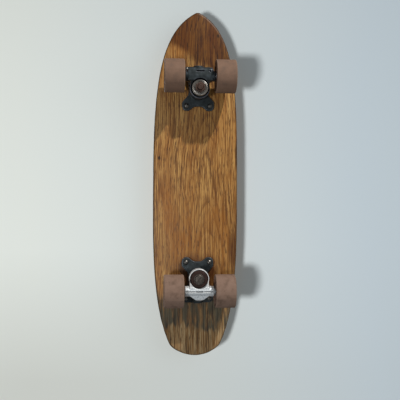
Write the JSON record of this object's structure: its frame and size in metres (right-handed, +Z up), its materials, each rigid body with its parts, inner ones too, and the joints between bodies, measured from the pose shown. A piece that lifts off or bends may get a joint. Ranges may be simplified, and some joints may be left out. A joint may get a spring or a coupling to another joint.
{
  "type": "skateboard",
  "caption": "Short oak skateboard with a pointed nose, steering trucks on rubber cushions and wide soft wheels on ball bearings.",
  "frame": {"origin": "on the floor under the middle of the board, at the centre of the bottom of its bounding box", "axes": "+X towards the pointed nose, +Y to the rider's left along the axles, +Z up out of the deck's standing face"},
  "size_m": [0.6099, 0.1502, 0.09],
  "materials": {
    "oak": "aged semi-gloss varnish, weathered bare at the tail",
    "dark_cast_metal": "dark painted casting, satin",
    "bright_cast_metal": "bare casting, satin",
    "black_rubber": "matte",
    "red_rubber": "matte, aged",
    "rose_urethane": "matte, dusty",
    "worn_steel": "worn, scratched",
    "axle_steel": "zinc plated",
    "screw_steel": "dull plated",
    "rusty_steel": "light rust",
    "grey_steel": "oxidised grey",
    "bearing_steel": "ground"
  },
  "bodies": {
    "root": {"deck": "oak", "front_baseplate": "dark_cast_metal", "front_pivot_cup": "black_rubber", "front_kingpin": "rusty_steel", "front_kingpin_nut": "rusty_steel", "front_lower_cushion": "black_rubber", "front_upper_cushion": "black_rubber", "front_cup_washer": "worn_steel", "front_screw_outer_left": "screw_steel", "front_screw_outer_right": "screw_steel", "front_screw_inner_left": "screw_steel", "front_screw_inner_right": "screw_steel", "rear_baseplate": "dark_cast_metal", "rear_pivot_cup": "black_rubber", "rear_kingpin": "grey_steel", "rear_kingpin_nut": "worn_steel", "rear_lower_cushion": "red_rubber", "rear_upper_cushion": "red_rubber", "rear_cup_washer": "grey_steel", "rear_screw_outer_left": "screw_steel", "rear_screw_outer_right": "screw_steel", "rear_screw_inner_left": "screw_steel", "rear_screw_inner_right": "screw_steel"},
    "front_hanger": {"front_hanger": "dark_cast_metal", "front_axle": "axle_steel", "front_left_axle_nut": "axle_steel", "front_left_outer_inner_race": "bearing_steel", "front_left_inner_inner_race": "bearing_steel", "front_right_axle_nut": "axle_steel", "front_right_outer_inner_race": "bearing_steel", "front_right_inner_inner_race": "bearing_steel"},
    "front_left_wheel": {"front_left_wheel": "rose_urethane", "front_left_outer_outer_race": "bearing_steel", "front_left_inner_outer_race": "bearing_steel"},
    "front_left_outer_ball_cage": {"front_left_outer_ball_cage": "bearing_steel"},
    "front_left_inner_ball_cage": {"front_left_inner_ball_cage": "bearing_steel"},
    "front_right_wheel": {"front_right_wheel": "rose_urethane", "front_right_outer_outer_race": "bearing_steel", "front_right_inner_outer_race": "bearing_steel"},
    "front_right_outer_ball_cage": {"front_right_outer_ball_cage": "bearing_steel"},
    "front_right_inner_ball_cage": {"front_right_inner_ball_cage": "bearing_steel"},
    "rear_hanger": {"rear_hanger": "bright_cast_metal", "rear_axle": "axle_steel", "rear_left_axle_nut": "axle_steel", "rear_left_outer_inner_race": "bearing_steel", "rear_left_inner_inner_race": "bearing_steel", "rear_right_axle_nut": "axle_steel", "rear_right_outer_inner_race": "bearing_steel", "rear_right_inner_inner_race": "bearing_steel"},
    "rear_left_wheel": {"rear_left_wheel": "rose_urethane", "rear_left_outer_outer_race": "bearing_steel", "rear_left_inner_outer_race": "bearing_steel"},
    "rear_left_outer_ball_cage": {"rear_left_outer_ball_cage": "bearing_steel"},
    "rear_left_inner_ball_cage": {"rear_left_inner_ball_cage": "bearing_steel"},
    "rear_right_wheel": {"rear_right_wheel": "rose_urethane", "rear_right_outer_outer_race": "bearing_steel", "rear_right_inner_outer_race": "bearing_steel"},
    "rear_right_outer_ball_cage": {"rear_right_outer_ball_cage": "bearing_steel"},
    "rear_right_inner_ball_cage": {"rear_right_inner_ball_cage": "bearing_steel"}
  },
  "joints": [
    {"name": "front_steer", "type": "hinge", "parent": "root", "child": "front_hanger", "pos_m": [0.1635, 0.0038, 0.042], "axis": [0.8552, 0, 0.5183], "range_deg": [-7, 7], "stiffness_Nm_per_rad": 40, "deforming": ["front_lower_cushion", "front_upper_cushion"]},
    {"name": "front_left_wheel_spin", "type": "hinge", "parent": "front_hanger", "child": "front_left_wheel", "pos_m": [0.1835, 0.0476, 0.0285], "axis": [0, 1, 0], "continuous": true},
    {"name": "front_left_outer_ball_cage_spin", "type": "hinge", "parent": "front_hanger", "child": "front_left_outer_ball_cage", "pos_m": [0.1835, 0.0518, 0.0285], "axis": [0, 1, 0], "continuous": true},
    {"name": "front_left_inner_ball_cage_spin", "type": "hinge", "parent": "front_hanger", "child": "front_left_inner_ball_cage", "pos_m": [0.1835, 0.0345, 0.0285], "axis": [0, 1, 0], "continuous": true},
    {"name": "front_right_wheel_spin", "type": "hinge", "parent": "front_hanger", "child": "front_right_wheel", "pos_m": [0.1835, -0.04, 0.0285], "axis": [0, 1, 0], "continuous": true},
    {"name": "front_right_outer_ball_cage_spin", "type": "hinge", "parent": "front_hanger", "child": "front_right_outer_ball_cage", "pos_m": [0.1835, -0.0442, 0.0285], "axis": [0, 1, 0], "continuous": true},
    {"name": "front_right_inner_ball_cage_spin", "type": "hinge", "parent": "front_hanger", "child": "front_right_inner_ball_cage", "pos_m": [0.1835, -0.0269, 0.0285], "axis": [0, 1, 0], "continuous": true},
    {"name": "rear_steer", "type": "hinge", "parent": "root", "child": "rear_hanger", "pos_m": [-0.1635, 0.0038, 0.042], "axis": [-0.8552, 0, 0.5183], "range_deg": [-7, 7], "stiffness_Nm_per_rad": 40, "deforming": ["rear_lower_cushion", "rear_upper_cushion"]},
    {"name": "rear_left_wheel_spin", "type": "hinge", "parent": "rear_hanger", "child": "rear_left_wheel", "pos_m": [-0.1835, 0.0476, 0.0285], "axis": [0, 1, 0], "continuous": true},
    {"name": "rear_left_outer_ball_cage_spin", "type": "hinge", "parent": "rear_hanger", "child": "rear_left_outer_ball_cage", "pos_m": [-0.1835, 0.0518, 0.0285], "axis": [0, 1, 0], "continuous": true},
    {"name": "rear_left_inner_ball_cage_spin", "type": "hinge", "parent": "rear_hanger", "child": "rear_left_inner_ball_cage", "pos_m": [-0.1835, 0.0345, 0.0285], "axis": [0, 1, 0], "continuous": true},
    {"name": "rear_right_wheel_spin", "type": "hinge", "parent": "rear_hanger", "child": "rear_right_wheel", "pos_m": [-0.1835, -0.04, 0.0285], "axis": [0, 1, 0], "continuous": true},
    {"name": "rear_right_outer_ball_cage_spin", "type": "hinge", "parent": "rear_hanger", "child": "rear_right_outer_ball_cage", "pos_m": [-0.1835, -0.0442, 0.0285], "axis": [0, 1, 0], "continuous": true},
    {"name": "rear_right_inner_ball_cage_spin", "type": "hinge", "parent": "rear_hanger", "child": "rear_right_inner_ball_cage", "pos_m": [-0.1835, -0.0269, 0.0285], "axis": [0, 1, 0], "continuous": true}
  ],
  "couplings": [
    {"joint": "front_left_outer_ball_cage_spin", "follows": "front_left_wheel_spin", "ratio": 0.6267},
    {"joint": "front_left_inner_ball_cage_spin", "follows": "front_left_wheel_spin", "ratio": 0.6267},
    {"joint": "front_right_outer_ball_cage_spin", "follows": "front_right_wheel_spin", "ratio": 0.6267},
    {"joint": "front_right_inner_ball_cage_spin", "follows": "front_right_wheel_spin", "ratio": 0.6267},
    {"joint": "rear_left_outer_ball_cage_spin", "follows": "rear_left_wheel_spin", "ratio": 0.6267},
    {"joint": "rear_left_inner_ball_cage_spin", "follows": "rear_left_wheel_spin", "ratio": 0.6267},
    {"joint": "rear_right_outer_ball_cage_spin", "follows": "rear_right_wheel_spin", "ratio": 0.6267},
    {"joint": "rear_right_inner_ball_cage_spin", "follows": "rear_right_wheel_spin", "ratio": 0.6267}
  ]
}
